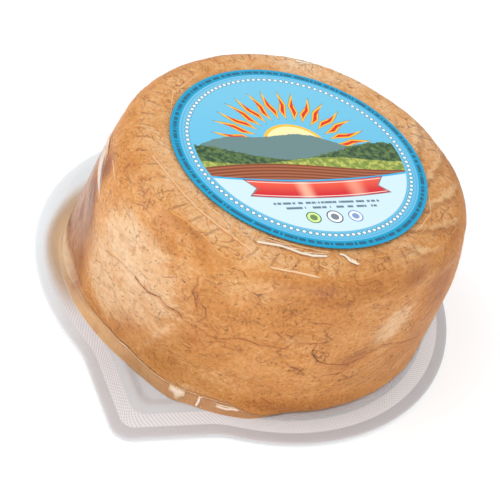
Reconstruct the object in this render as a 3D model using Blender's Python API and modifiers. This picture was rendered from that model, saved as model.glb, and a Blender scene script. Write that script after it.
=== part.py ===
"""A smoked fresh cheese in its shop pack.

A low wheel with a leathery smoked rind lies on a thermoformed tray that has one peel
corner. A clear skin film is drawn down over the wheel and sealed to the tray's rim, and a
round paper label sits on top of it.

Metres, +Z up. The origin is the centre of the tray's round outline, on the underside of
its floor. The peel corner points along -Y.
"""
import math
from collections import namedtuple

import bmesh
import bpy

COLLECTION = "smoked_fresh_cheese"

# Tray: a round sheet with one corner drawn out, a raised rim and a shallow floor.
TRAY_RADIUS = 0.090
TRAY_SHEET = 0.0008
CORNER_REACH = 0.110
CORNER_ROUND = 0.007
CORNER_TIGHTEST = 0.005
CORNER_HALF_ANGLE = math.radians(48)
CORNER_FILLET = 0.030
CORNER_DIRECTION = math.radians(-90)
MARGIN_WIDTH = 0.007
SEAL_WIDTH = 0.007
STEP_WIDTH = 0.005
RIM_RISE = 0.0014
MARGIN_DROP = 0.0010

# Wheel: the bare cheese, a little off the tray's centre and not quite round.
WHEEL_CENTRE = (0.0032, -0.0021)
WHEEL_RADIUS = 0.0755
WHEEL_BOTTOM = TRAY_SHEET + 0.0003
WHEEL_TOP = 0.0708
FOOT_ROUND = 0.008
LEAN_START = 0.040
SHOULDER_START = 0.060
WALL_LEAN = 0.0034
SHOULDER_WIDTH = 0.015
FAR_EDGE = 0.006
FAR_EDGE_DIRECTION = math.radians(100)
FAR_EDGE_HALF_WIDTH = math.radians(70)
LABEL_REST_RADIUS = 0.053
OVAL = 0.030
OVAL_DIRECTION = math.radians(73)
LOBES = 0.014
LOBE_DIRECTION = math.radians(19)
FOOT_OVAL_SHARE = 0.4
LUMP = 0.0004
LUMPS_ROUND = 5
LUMP_SLANT = 90
LUMP_CLIMB = 80

# The foot's rings: degrees up from the floor. Where there is a toe, follow pulls a ring out
# to the wall, flare gives it its share of the toe's width, and settle lets it down on the
# tray.
FOOT_SHAPE = (
    (0, 0.0, 0.0, 0.0),
    (14, 1.0, 0.25, 0.0),
    (30, 1.0, 1.0, 1.0),
    (52, 1.0, 0.5, 0.0),
    (75, 1.0, 0.12, 0.0),
)
WALL_HEIGHTS = (WHEEL_BOTTOM + FOOT_ROUND, 0.025, LEAN_START, 0.050, SHOULDER_START)

# The shoulder's rings: degrees up from the wall, and how deep the plait's lines are there.
SHOULDER_SHAPE = ((25, 0.3), (48, 1.0), (70, 1.0), (90, 1.0))

# Toe: the foot of the soft wheel spreads out over the rim on one side, in uneven lobes.
TOE_LOBES = (
    (math.radians(218), math.radians(30), 0.0040),
    (math.radians(243), math.radians(30), 0.0019),
    (math.radians(275), math.radians(17), 0.0030),
    (math.radians(290), math.radians(14), 0.0020),
)
TOE_MIDDLE = math.radians(236)
TOE_HALF_SPAN = math.radians(74)
TOE_RAMP = math.radians(15)

# Skirt: behind the toe the whole lower wall leans out to meet it.
SKIRT = 0.0055
SKIRT_TOP = 0.045
SKIRT_DIRECTION = math.radians(192)
SKIRT_HALF_WIDTH = math.radians(38)

# Plait: the lines that the woven hoop pressed into the top edge.
PLAIT_LINES = 50
PLAIT_DEPTH = 0.0006
PLAIT_SLANT = math.radians(6)
COLUMNS_PER_LINE = 3

# Film and label.
FILM_GAP = 0.0004
FILM_SHEET = 0.00025
FILM_HEM_INSET = 0.001
TENT_DIRECTION = math.radians(197)
TENT_HALF_WIDTH = math.radians(28)
TENT_HEIGHT = 0.032
LABEL_RADIUS = 0.052
LABEL_SHEET = 0.0003
TOUCH_GAP = 0.0003
LIFT_GAP = 0.0008
TOE_GAP = 0.0005
FILM_FOOT_GAP = 0.0009
FILM_LYING_STEP = 0.0008

# Columns round the tray and the film crowd towards the peel corner.
PACK_COLUMNS = 96
CORNER_CROWDING = 0.5

# One ring of the wheel. Square is its share of the sharper far edge, plait its share of the
# lines' depth, and the others are told above.
Ring = namedtuple("Ring", "radius height follow flare settle square plait")


def smooth(value):
    """An S-shaped step from 0 to 1."""
    value = min(max(value, 0.0), 1.0)
    return value * value * (3 - 2 * value)


def angle_between(angle, other):
    """The unsigned angle between two directions."""
    return abs((angle - other + math.pi) % (2 * math.pi) - math.pi)


def hill(angle, middle, half_width):
    """A round hill of height 1 over a stretch of the compass."""
    away = angle_between(angle, middle) / half_width
    return math.cos(away * math.pi / 2) ** 2 if away < 1 else 0.0


def polar(centre, angle, reach, height):
    return (
        centre[0] + reach * math.cos(angle),
        centre[1] + reach * math.sin(angle),
        height,
    )


# ---------------------------------------------------------------- tray


def tray_reach(angle, inset):
    """How far the tray's outline, drawn in by an inset, lies from the centre at an angle."""
    turn = angle_between(angle, CORNER_DIRECTION)
    square = math.pi / 2 - CORNER_HALF_ANGLE
    side = (CORNER_REACH - CORNER_ROUND) * math.sin(CORNER_HALF_ANGLE) + CORNER_ROUND
    fillet_centre = TRAY_RADIUS + CORNER_FILLET
    fillet_turn = square - math.acos((side + CORNER_FILLET) / fillet_centre)
    if turn >= fillet_turn:
        return TRAY_RADIUS - inset
    fillet = CORNER_FILLET + inset
    line_end = (
        fillet_centre * math.cos(fillet_turn) - fillet * math.cos(square),
        fillet_centre * math.sin(fillet_turn) - fillet * math.sin(square),
    )
    if turn >= math.atan2(line_end[1], line_end[0]):
        along = fillet_centre * math.cos(turn - fillet_turn)
        return along - math.sqrt(along**2 - fillet_centre**2 + fillet**2)
    tip = max(CORNER_ROUND - inset, CORNER_TIGHTEST)
    tip_centre = (side - inset - tip) / math.sin(CORNER_HALF_ANGLE)
    tip_end = math.atan2(tip * math.sin(square), tip_centre + tip * math.cos(square))
    if turn >= tip_end:
        return (side - inset) / math.cos(turn - square)
    across = tip_centre * math.sin(turn)
    return tip_centre * math.cos(turn) + math.sqrt(tip**2 - across**2)


def tray_section(angle):
    """Reach and height of the tray's upper face at an angle, from the edge to the floor."""
    floor = TRAY_SHEET
    rim = floor + RIM_RISE
    seal_inner = MARGIN_WIDTH + SEAL_WIDTH
    return [
        (tray_reach(angle, 0.0), rim - MARGIN_DROP),
        (tray_reach(angle, MARGIN_WIDTH), rim),
        (tray_reach(angle, seal_inner), rim),
        (tray_reach(angle, seal_inner + STEP_WIDTH / 2), (rim + floor) / 2),
        (tray_reach(angle, seal_inner + STEP_WIDTH), floor),
    ]


def tray_height(x, y):
    """Height of the tray's upper face above a point of the floor plan."""
    reach = math.hypot(x, y)
    section = tray_section(math.atan2(y, x))
    if reach <= section[-1][0]:
        return section[-1][1]
    for (outer, high), (inner, low) in zip(section, section[1:]):
        if reach >= inner:
            return low + (high - low) * (reach - inner) / (outer - inner)
    return section[-1][1]


def pack_angle(column):
    """Direction of a column of the tray and the film."""
    turn = 2 * math.pi * column / PACK_COLUMNS
    return CORNER_DIRECTION + turn - CORNER_CROWDING * math.sin(turn)


# ---------------------------------------------------------------- wheel


def foot_rings():
    """The rounded foot, from where it touches the floor up to the wall."""
    rings = []
    for degrees, follow, flare, settle in FOOT_SHAPE:
        turn = math.radians(degrees)
        rings.append(Ring(
            WHEEL_RADIUS - FOOT_ROUND * (1 - math.sin(turn)),
            WHEEL_BOTTOM + FOOT_ROUND * (1 - math.cos(turn)),
            follow, flare, settle, 0.0, 0.0,
        ))
    return rings


def wall_rings():
    """The wall, upright at first and then leaning in towards the shoulder."""
    rings = []
    for height in WALL_HEIGHTS:
        lean = max(0.0, (height - LEAN_START) / (SHOULDER_START - LEAN_START))
        rings.append(Ring(WHEEL_RADIUS - WALL_LEAN * lean**2, height, 0.0, 0.0, 0.0, 0.0, 0.0))
    return rings


def shoulder_rings():
    """The round shoulder and the outer part of the flat top, both marked by the plait."""
    rings = []
    flat_edge = WHEEL_RADIUS - WALL_LEAN - SHOULDER_WIDTH
    rise = WHEEL_TOP - SHOULDER_START
    for degrees, plait in SHOULDER_SHAPE:
        turn = math.radians(degrees)
        rings.append(Ring(
            flat_edge + SHOULDER_WIDTH * math.cos(turn),
            SHOULDER_START + rise * math.sin(turn),
            0.0, 0.0, 0.0, 1 - math.cos(turn), plait,
        ))
    rings.append(Ring(LABEL_REST_RADIUS, WHEEL_TOP, 0.0, 0.0, 0.0, 0.0, 0.0))
    return rings


def toe_width(angle):
    return sum(width * hill(angle, middle, half) for middle, half, width in TOE_LOBES)


def toe_presence(angle):
    away = angle_between(angle, TOE_MIDDLE)
    return smooth((TOE_HALF_SPAN - away) / TOE_RAMP)


def skirt_reach(angle, height):
    fall = max(0.0, 1 - height / SKIRT_TOP)
    return SKIRT * fall * hill(angle, SKIRT_DIRECTION, SKIRT_HALF_WIDTH)


def unevenness(angle, height):
    """How much wider than a true circle the wheel is in one direction, as a ratio."""
    share = FOOT_OVAL_SHARE + (1 - FOOT_OVAL_SHARE) * min(height / LEAN_START, 1.0)
    oval = OVAL * math.cos(2 * (angle - OVAL_DIRECTION))
    lobes = LOBES * math.cos(3 * (angle - LOBE_DIRECTION))
    return 1 + share * (oval + lobes)


def rind_reach(ring, angle):
    """Distance of the rind from the wheel's axis, without the plait's lines."""
    tuck = (WHEEL_RADIUS - ring.radius) * ring.follow * toe_presence(angle)
    square = FAR_EDGE * ring.square * hill(angle, FAR_EDGE_DIRECTION, FAR_EDGE_HALF_WIDTH)
    on_wall = ring.height >= WALL_HEIGHTS[0]
    skirt = skirt_reach(angle, ring.height) * (1.0 if on_wall else ring.follow * toe_presence(angle))
    reach = (ring.radius + tuck + square) * unevenness(angle, ring.height) + skirt
    wave = math.sin(LUMPS_ROUND * angle + LUMP_SLANT * ring.height)
    lump = LUMP * wave * math.sin(LUMP_CLIMB * ring.height)
    return reach + ring.flare * toe_width(angle) + lump


def rind_point(ring, angle):
    """A point of the rind's plain surface, kept clear of the tray."""
    x, y, height = polar(WHEEL_CENTRE, angle, rind_reach(ring, angle), ring.height)
    gap = TOE_GAP if ring.settle else LIFT_GAP
    lowest = tray_height(x, y) + gap if ring.follow else height
    height += ring.settle * toe_presence(angle) * (lowest - height)
    return x, y, max(height, lowest)


def wheel_ring_points(ring):
    """One ring of the cheese, twisted and dented where the plait marked it."""
    columns = PLAIT_LINES * COLUMNS_PER_LINE
    rise = (ring.height - SHOULDER_START) / (WHEEL_TOP - SHOULDER_START)
    twist = PLAIT_SLANT * max(rise, 0.0)
    points = []
    for column in range(columns):
        angle = 2 * math.pi * column / columns + twist
        x, y, height = rind_point(ring, angle)
        if column % COLUMNS_PER_LINE == 0:
            dent = PLAIT_DEPTH * ring.plait
            x -= dent * (1 - rise) * math.cos(angle)
            y -= dent * (1 - rise) * math.sin(angle)
            height -= dent * rise
        points.append((x, y, height))
    return points


# ---------------------------------------------------------------- film


def tent_share(angle):
    """How far the film is off the wall, where it stands away like a tent."""
    return hill(angle, TENT_DIRECTION, TENT_HALF_WIDTH)


def film_column(angle):
    """The film's inner face at one direction, from its hem up to the flat top."""
    rings = foot_rings()[2:] + wall_rings() + shoulder_rings()
    points = [rind_point(ring, angle) for ring in rings]
    section = [(math.hypot(x - WHEEL_CENTRE[0], y - WHEEL_CENTRE[1]), z) for x, y, z in points]
    foot_reach = section[0][0] + FILM_FOOT_GAP
    top_reach = section[len(foot_rings()) - 1][0]
    column = []
    for index in range(1, len(section)):
        before = section[index - 1]
        after = section[min(index + 1, len(section) - 1)]
        length = math.dist(before, after)
        reach = section[index][0] + FILM_GAP * (after[1] - before[1]) / length
        height = section[index][1] + FILM_GAP * (before[0] - after[0]) / length
        tent = foot_reach + (top_reach - foot_reach) * height / TENT_HEIGHT
        if height < TENT_HEIGHT:
            reach += tent_share(angle) * max(0.0, tent - reach)
        column.append(polar(WHEEL_CENTRE, angle, reach, height))
    return tray_part_of_film(angle, foot_reach) + column


def tray_part_of_film(angle, foot_reach):
    """The film's hem, seal and foot, which lie along the tray."""
    foot = polar(WHEEL_CENTRE, angle, foot_reach, 0.0)
    foot_from_middle = math.hypot(foot[0], foot[1])
    seal_inner = MARGIN_WIDTH + SEAL_WIDTH
    hem = polar((0, 0), angle, tray_reach(angle, FILM_HEM_INSET), 0.0)
    outer = max(tray_reach(angle, MARGIN_WIDTH), foot_from_middle + 2 * FILM_LYING_STEP)
    inner = max(tray_reach(angle, seal_inner), foot_from_middle + FILM_LYING_STEP)
    lying = [hem, polar((0, 0), angle, outer, 0.0), polar((0, 0), angle, inner, 0.0), foot]
    return [(x, y, tray_height(x, y) + TOUCH_GAP) for x, y, _ in lying]


# ---------------------------------------------------------------- mesh and scene helpers


def loft(name, rings, start=None, end=None):
    """Skin a stack of rings of equally many points, closed by a point at either end."""
    mesh = bmesh.new()
    layers = [[mesh.verts.new(point) for point in ring] for ring in rings]
    count = len(layers[0])
    for below, above in zip(layers, layers[1:]):
        for index in range(count):
            after = (index + 1) % count
            mesh.faces.new((below[index], below[after], above[after], above[index]))
    if start is not None:
        tip = mesh.verts.new(start)
        for index in range(count):
            mesh.faces.new((layers[0][(index + 1) % count], layers[0][index], tip))
    if end is not None:
        tip = mesh.verts.new(end)
        for index in range(count):
            mesh.faces.new((layers[-1][index], layers[-1][(index + 1) % count], tip))
    data = bpy.data.meshes.new(name)
    mesh.to_mesh(data)
    mesh.free()
    return data


def add_object(name, data, material, collection):
    data.shade_smooth()
    data.set_sharp_from_angle(angle=math.radians(40))
    data.materials.append(material)
    thing = bpy.data.objects.new(name, data)
    collection.objects.link(thing)
    return thing


def add_sheet(thing, thickness, side):
    """Give an open surface its thickness, on the side its faces look to (1) or away (-1)."""
    solidify = thing.modifiers.new("sheet", "SOLIDIFY")
    solidify.thickness = thickness
    solidify.offset = side


def finish(name, colour, roughness, alpha=1.0):
    material = bpy.data.materials.new(name)
    material.use_nodes = True
    shader = material.node_tree.nodes["Principled BSDF"]
    shader.inputs["Base Color"].default_value = (*colour, 1.0)
    shader.inputs["Roughness"].default_value = roughness
    shader.inputs["Metallic"].default_value = 0.0
    shader.inputs["Alpha"].default_value = alpha
    return material


# ---------------------------------------------------------------- the four pieces


def make_tray(collection):
    columns = [pack_angle(column) for column in range(PACK_COLUMNS)]
    sections = [tray_section(angle) for angle in columns]
    rings = [
        [polar((0, 0), angle, *section[row]) for angle, section in zip(columns, sections)]
        for row in range(len(sections[0]))
    ]
    data = loft("tray", rings, end=(0, 0, TRAY_SHEET))
    tray = add_object("tray", data, finish("tray_plastic", (0.72, 0.70, 0.70), 0.4), collection)
    add_sheet(tray, TRAY_SHEET, -1)


def make_cheese(collection):
    rings = foot_rings() + wall_rings() + shoulder_rings()
    points = [wheel_ring_points(ring) for ring in rings]
    x, y = WHEEL_CENTRE
    data = loft("cheese", points, start=(x, y, WHEEL_BOTTOM), end=(x, y, WHEEL_TOP))
    add_object("cheese", data, finish("smoked_rind", (0.66, 0.36, 0.14), 0.5), collection)


def make_film(collection):
    columns = [film_column(pack_angle(column)) for column in range(PACK_COLUMNS)]
    rings = [list(ring) for ring in zip(*columns)]
    x, y = WHEEL_CENTRE
    data = loft("film", rings, end=(x, y, WHEEL_TOP + FILM_GAP))
    film = add_object("film", data, finish("clear_film", (0.9, 0.9, 0.9), 0.1, 0.25), collection)
    add_sheet(film, FILM_SHEET, 1)


def make_label(collection):
    underside = WHEEL_TOP + FILM_GAP + FILM_SHEET + TOUCH_GAP
    mesh = bmesh.new()
    bmesh.ops.create_cone(
        mesh, cap_ends=True, segments=PACK_COLUMNS,
        radius1=LABEL_RADIUS, radius2=LABEL_RADIUS, depth=LABEL_SHEET,
    )
    data = bpy.data.meshes.new("label")
    mesh.to_mesh(data)
    mesh.free()
    label = add_object("label", data, finish("label_paper", (0.22, 0.60, 0.84), 0.35), collection)
    label.location = (*WHEEL_CENTRE, underside + LABEL_SHEET / 2)


def main():
    for thing in list(bpy.data.objects):
        bpy.data.objects.remove(thing, do_unlink=True)
    collection = bpy.data.collections.new(COLLECTION)
    bpy.context.scene.collection.children.link(collection)
    make_tray(collection)
    make_cheese(collection)
    make_film(collection)
    make_label(collection)


main()
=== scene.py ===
"""The looks of a smoked fresh cheese in its shop pack.

The wheel, its tray, the clear film over both and the round label are modelled at full
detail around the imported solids, in metres, in the same frame.
"""
from math import acos, atan2, copysign, cos, degrees, dist, hypot, pi, prod, radians, sin, sqrt

import bmesh
import bpy
from mathutils import Matrix, Vector, noise


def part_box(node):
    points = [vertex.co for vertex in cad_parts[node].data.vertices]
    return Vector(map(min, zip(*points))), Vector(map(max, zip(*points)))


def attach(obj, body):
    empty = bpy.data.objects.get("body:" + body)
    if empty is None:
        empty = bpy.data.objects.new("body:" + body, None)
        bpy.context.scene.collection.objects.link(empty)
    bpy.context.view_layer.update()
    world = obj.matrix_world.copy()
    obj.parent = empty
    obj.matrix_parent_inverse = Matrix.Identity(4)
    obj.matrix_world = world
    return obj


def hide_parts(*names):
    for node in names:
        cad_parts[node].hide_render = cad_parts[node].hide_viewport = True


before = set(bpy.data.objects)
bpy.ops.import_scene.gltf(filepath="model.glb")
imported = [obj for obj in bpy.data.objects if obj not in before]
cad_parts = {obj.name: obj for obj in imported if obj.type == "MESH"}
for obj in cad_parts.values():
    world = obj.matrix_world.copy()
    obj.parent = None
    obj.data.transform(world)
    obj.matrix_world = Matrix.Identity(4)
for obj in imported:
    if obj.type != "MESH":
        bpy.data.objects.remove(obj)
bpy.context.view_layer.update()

# ---- sizes

# From the solids.
TRAY_LOW, TRAY_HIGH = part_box("tray")
WHEEL_LOW, WHEEL_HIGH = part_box("cheese")
LABEL_LOW, LABEL_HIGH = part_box("label")
TRAY_RADIUS = (TRAY_HIGH[0] - TRAY_LOW[0]) / 2
CORNER_REACH = -TRAY_LOW[1]
WHEEL_BOTTOM = WHEEL_LOW[2]
WHEEL_TOP = WHEEL_HIGH[2]
LABEL_RADIUS = (LABEL_HIGH[0] - LABEL_LOW[0]) / 2
LABEL_BOTTOM = LABEL_LOW[2]
LABEL_SHEET = LABEL_HIGH[2] - LABEL_LOW[2]
WHEEL_CENTRE = ((LABEL_HIGH[0] + LABEL_LOW[0]) / 2, (LABEL_HIGH[1] + LABEL_LOW[1]) / 2)

# Tray.
TRAY_SHEET = 0.0008
CORNER_DIRECTION = radians(-90)
CORNER_ROUND = 0.007
CORNER_TIGHTEST = 0.005
CORNER_HALF_ANGLE = radians(48)
CORNER_FILLET = 0.030
MARGIN_WIDTH = 0.0049
SEAL_WIDTH = 0.0057
RIM_WIDTH = 0.014
STEP_WIDTH = 0.005
RIM_TOP = TRAY_HIGH[2]
FLOOR_TOP = TRAY_SHEET
MARGIN_DROP = 0.0002
KNURLS = 328
KNURL_ROWS = 17
KNURL_SAMPLES = 4
KNURL_HEIGHT = 0.00015

# Wheel.
WHEEL_RADIUS = 0.0755
UNROLLED = WHEEL_RADIUS * 1000  # millimetres round the wall to a radian
FOOT_ROUND = 0.008
LEAN_START = 0.040
SHOULDER_START = 0.060
WALL_LEAN = 0.0034
SHOULDER_WIDTH = 0.015
FLAT_EDGE = WHEEL_RADIUS - WALL_LEAN - SHOULDER_WIDTH
FAR_EDGE = 0.006
FAR_EDGE_DIRECTION = 100
FAR_EDGE_HALF_WIDTH = 70
LABEL_REST_RADIUS = 0.051
OVAL = 0.030
OVAL_DIRECTION = radians(73)
LOBES = 0.014
LOBE_DIRECTION = radians(19)
FOOT_OVAL_SHARE = 0.4
TOE_LOBES = (
    (218, 30, 0.0040), (243, 30, 0.0019), (275, 17, 0.0030), (290, 14, 0.0020),
)
TOE_MIDDLE = radians(236)
TOE_HALF_SPAN = radians(74)
TOE_RAMP = radians(15)
SKIRT = 0.0055
SKIRT_TOP = 0.045
SKIRT_DIRECTION = 192
SKIRT_HALF_WIDTH = 38
TOE_GAP = 0.00005
PLAIT_LINES = 50
PLAIT_START = radians(4.2)
PLAIT_DEPTH = 0.0004
PLAIT_SLANT = 4.4
PLAIT_OUTER = 0.066
PLAIT_RING = (0.0758, 0.0778, 0.0836, 0.0822)  # nothing, full, nothing, full up the section
LUMPS = ((0.022, 0.00045), (0.008, 0.00022))  # the size of each kind and its height
GRIT = (0.0028, 0.00010)
RELIEF_LIMIT = 0.00025
CRACK_REACH = 2.4  # in millimetres, as the lines below
LEDGE_REACH = 4.5
WHEEL_COLUMNS = 560
WHEEL_BANDS = (16, 10)

# Film.
FILM_GAP = 0.0004
FILM_SHEET = 0.00015
FILM_HEM_INSET = 0.001
FILM_FOOT_GAP = 0.0003
FILM_REST_GAP = 0.0002
FILM_COLUMNS = 420
FILM_BANDS = (11, 10)
FILM_LYING_ROWS = 24
TENT_DIRECTION = 197
TENT_HALF_WIDTH = 28
TENT_HEIGHT = 0.032
TENT_TOP = 0.058
STREAK_DIRECTION = 208
STREAK_HALF_WIDTH = 27
TAN_HAZE_DIRECTION = 203
TAN_HAZE_HALF_WIDTH = 36
TAN_HAZE_WIDTH = 0.0075
FILLET_WIDTH = 0.0055
FILM_START = FOOT_ROUND * radians(34)
FILM_FOOT = FOOT_ROUND * radians(30)
CREASE_REACH = 3.0  # in millimetres, as the lines below
WALL_CREASE_REACH = 2.2
WALL_CREASE_WIDTH = 0.20

# Lines cracked into the rind: half width and depth in millimetres, then the places they
# run through, each a compass angle in degrees and a length up the section in millimetres.
CRACKS = (
    (0.22, 0.5, ((-123.2, 41.8), (-116.1, 46.0), (-109.2, 46.8))),
    (0.36, 1.0, ((-109.2, 46.8), (-103.4, 45.3), (-100.1, 46.5), (-97.2, 45.0), (-93.6, 45.4))),
    (0.24, 0.7, ((-93.6, 45.4), (-91.7, 43.2), (-87.7, 43.7), (-84.4, 41.5), (-80.9, 42.1))),
    (0.30, 0.9, ((-80.9, 42.1), (-78.1, 44.4), (-74.5, 45.9), (-70.1, 44.8), (-62.0, 44.6))),
    (0.24, 0.7, ((-92.4, 62.0), (-91.8, 59.5), (-92.6, 56.8), (-90.8, 54.6))),
    (0.36, 1.0, ((-90.8, 54.6), (-90.0, 52.6), (-89.0, 50.6))),
    (0.24, 0.7, ((-90.8, 54.6), (-87.4, 52.8), (-86.4, 50.0), (-87.4, 46.4), (-89.2, 43.4))),
    (0.50, 1.1, ((-44.4, 82.0), (-43.0, 82.6))),
    (0.36, 1.1, ((-134.4, 73.3), (-132.9, 70.1))),
    (0.24, 0.6, ((-132.9, 70.1), (-130.3, 70.8), (-127.5, 71.6))),
    (0.45, 1.2, ((-121.7, 75.6), (-120.9, 73.8))),
    (0.40, 1.1, ((-111.7, 70.1), (-110.6, 69.7))),
    (0.24, 0.8, ((-79.6, 39.1), (-75.7, 39.4))),
    (0.28, 0.9, ((-76.7, 65.4), (-75.4, 65.0), (-74.4, 63.2))),
    (0.22, 0.7, ((-75.4, 65.4), (-73.3, 67.0))),
    (0.20, 0.7, ((-59.0, 57.6), (-51.8, 57.2))),
    (0.26, 0.8, ((-67.1, 51.5), (-64.0, 49.1))),
    (0.28, 0.9, ((-60.4, 47.7), (-54.4, 48.1), (-51.1, 48.7))),
    (0.40, 1.2, ((-54.4, 48.1), (-54.8, 43.4), (-53.2, 41.0), (-51.5, 38.4))),
    (0.28, 0.9, ((-51.5, 38.4), (-46.5, 36.5), (-40.5, 35.1), (-35.7, 37.6), (-34.2, 39.2),
                 (-29.4, 41.2), (-21.1, 38.0), (-8.3, 31.8))),
    (0.34, 1.0, ((-60.4, 36.7), (-55.3, 32.9), (-56.1, 31.6))),
    (0.24, 0.8, ((-48.2, 30.4), (-41.8, 30.5), (-40.2, 34.2))),
    (0.36, 1.1, ((-41.0, 25.9), (-37.2, 26.9))),
    (0.24, 0.8, ((-53.8, 54.7), (-50.1, 49.8))),
    (0.22, 0.6, ((-42.5, 73.0), (-38.4, 73.9), (-36.3, 72.0))),
    (0.22, 0.7, ((-46.4, 75.8), (-45.7, 73.4), (-43.0, 72.7))),
    (0.28, 0.9, ((-18.0, 43.8), (-17.3, 46.7))),
    (0.26, 0.6, ((-63.4, 16.7), (-60.0, 13.5))),
    (0.26, 0.8, ((12.0, 38.0), (22.0, 35.5), (31.0, 37.0), (38.0, 34.0))),
    (0.26, 0.8, ((52.0, 48.0), (60.0, 50.0), (71.0, 46.5), (80.0, 47.0))),
    (0.30, 0.9, ((71.0, 46.5), (73.0, 39.0), (72.0, 34.0))),
    (0.28, 0.9, ((98.0, 33.0), (108.0, 36.0), (120.0, 34.5), (131.0, 37.0), (140.0, 36.0))),
    (0.34, 1.0, ((120.0, 34.5), (122.0, 28.0), (121.0, 24.0))),
    (0.26, 0.8, ((150.0, 52.0), (161.0, 55.0), (172.0, 51.0))),
    (0.30, 0.9, ((-172.0, 38.0), (-163.0, 41.0), (-155.0, 38.5), (-147.0, 40.0))),
)

# Soft ledges where the plait pressed the rind's shoulder, drawn with a painted highlight above
# and painted shade below: the same.
LEDGES = (
    (1.1, 1.0, ((-112.0, 76.1), (-104.6, 77.7), (-98.2, 77.3), (-93.1, 75.9), (-89.2, 74.3),
                (-85.8, 74.3))),
    (0.8, 0.8, ((-45.8, 81.6), (-36.6, 82.3), (-24.7, 81.5), (-14.4, 82.5), (-4.3, 83.5),
                (6.2, 82.2))),
    (0.9, 0.6, ((-50.3, 74.7), (-40.0, 75.2), (-26.5, 78.5), (-14.4, 76.8), (-2.2, 75.4),
                (9.4, 74.0))),
    (0.9, 0.6, ((24.0, 77.0), (40.0, 78.5), (58.0, 76.5), (76.0, 78.0))),
    (0.9, 0.7, ((128.0, 78.5), (146.0, 77.0), (164.0, 78.0), (178.0, 76.5))),
)

# Fields of another colour on the rind, partly its own tone and partly painted light: the big pale
# field low on the left wall is partly a painted sheen of the film, the thin slanted pale one a
# painted highlight on a ridge, and the broad deep fields over the right of the wall and low along
# its foot are painted shade. Each is a compass angle in degrees, length up the section,
# half length and half width in millimetres, slant in degrees and strength.
TONES = {
    "pale": (
        (-113, 40, 36, 30, 0, 0.9), (-115, 61, 19, 9, 8, 0.5), (-112, 48, 24, 6, -14, 0.6),
        (105, 82, 50, 8, 0, 0.5), (-107, 52, 20, 15, -10, 0.5), (-97, 28.6, 17, 2.2, 65, 0.3),
        (-121, 25, 18, 13, 0, 0.55), (-28, 51, 15, 10, 40, 1.1), (-73, 67, 14, 7, 0, 0.3),
        (-62, 49, 10, 3, 0, 0.3), (64, 55, 22, 8, 10, 0.7), (135, 60, 20, 9, -6, 0.8),
        (170, 44, 18, 6, 10, 0.6),
    ),
    "deep": (
        (-103, 76, 16, 4, -4, 0.9), (-88, 58, 13, 9, -20, 0.55), (-92, 69.5, 11, 5, -30, 0.9),
        (-84, 30, 26, 7, 0, 0.4), (-134, 74, 12, 7, 0, 0.45), (-76, 72, 17, 3, 0, 0.3),
        (-58, 71, 15, 4, 0, 0.6), (-58, 22, 30, 6, 0, 0.5), (-40, 70, 12, 5, 0, 0.7),
        (-18, 32, 20, 8, 0, 0.45), (-10, 45, 38, 34, 0, 0.7), (-34, 20, 32, 16, 10, 0.6),
        (-48, 13, 36, 6, 0, 1.6), (-40, 38, 16, 9, 30, 0.9), (-88, 16, 26, 6, 0, 0.6),
        (40, 74, 25, 5, 0, 0.6), (100, 40, 30, 10, 5, 0.5), (165, 70, 24, 6, 0, 0.6),
    ),
    "ruddy": (
        (-143, 60, 9, 9, 0, 1.2), (-145, 42, 10, 15, 0, 1.6), (-149, 22, 7, 14, 0, 1.3),
        (-172, 46, 16, 26, 0, 0.8), (-22, 71, 15, 6, 12, 0.8), (-8, 60, 16, 14, 0, 0.6),
        (-40, 38, 12, 4, 30, 0.6), (8, 74, 12, 5, 0, 0.4), (30, 30, 24, 14, 0, 0.6),
        (84, 66, 18, 9, 0, 0.5), (122, 26, 26, 9, 0, 0.6),
    ),
    "specked": (
        (-66, 61, 9, 3, 0, 1.0), (-62, 57, 6, 3, 0, 1.0), (-65, 51, 5, 3, 0, 0.8),
        (-53, 43, 7, 4, 0, 1.0), (-51, 40, 4, 3, 0, 1.0), (-57, 34, 6, 3, 0, 1.0),
        (-39, 28, 5, 3, 0, 0.8), (-52, 51, 4, 3, 0, 0.7), (-78, 55, 12, 6, 0, 0.2),
        (-92, 47, 14, 4, 0, 0.2), (-118, 73, 9, 4, 0, 0.5), (-111, 60, 6, 4, 0, 0.5),
        (-142, 36, 12, 20, 0, 1.2), (-20, 48, 9, 9, 0, 0.5), (60, 40, 20, 8, 0, 0.8),
        (100, 62, 16, 6, 0, 0.7), (142, 30, 20, 8, 0, 0.8),
    ),
}

# Creases pressed into the film over the wheel's top, each a bump and a painted highlight of
# cream haze: half width and strength, then the places they run through in the floor plan, all
# in millimetres.
CREASES = (
    (0.38, 0.55, ((-38.9, -45.9), (-24.9, -53.6))),
    (0.42, 0.65, ((-24.9, -53.6), (-14.0, -59.0), (-4.6, -61.8), (1.4, -62.8), (11.0, -64.5))),
    (0.24, 0.35, ((-16.9, -54.1), (-7.6, -56.3), (4.5, -59.6))),
    (0.24, 0.35, ((-2.4, -59.0), (3.0, -62.6), (12.0, -64.9))),
    (0.64, 1.0, ((11.9, -59.3), (14.5, -57.8), (19.1, -55.3), (22.7, -54.2), (26.4, -53.5),
                 (30.6, -51.8), (34.7, -48.2))),
    (1.00, 0.9, ((11.9, -59.3), (13.6, -58.3))),
    (0.34, 0.5, ((14.4, -54.1), (20.2, -52.4), (25.1, -50.6), (33.8, -46.1))),
    (0.56, 1.0, ((38.4, -43.4), (40.2, -42.8), (42.8, -44.0), (45.7, -43.0))),
    (0.80, 0.8, ((42.6, -43.0), (44.2, -42.6))),
    (0.38, 0.75, ((21.2, -65.8), (27.7, -62.5), (36.1, -58.4))),
    (0.34, 0.7, ((-21.5, 52.6), (-19.7, 50.6), (-16.2, 49.3))),
    (0.60, 1.0, ((-24.0, 54.9), (-19.5, 57.8))),
    (0.26, 0.35, ((30.7, 43.0), (36.4, 39.9), (39.9, 38.1))),
    (0.26, 0.3, ((-46.0, -20.0), (-52.0, -6.0), (-51.0, 12.0))),
    (0.26, 0.3, ((52.0, 18.0), (58.0, 4.0), (57.0, -10.0))),
)
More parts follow.
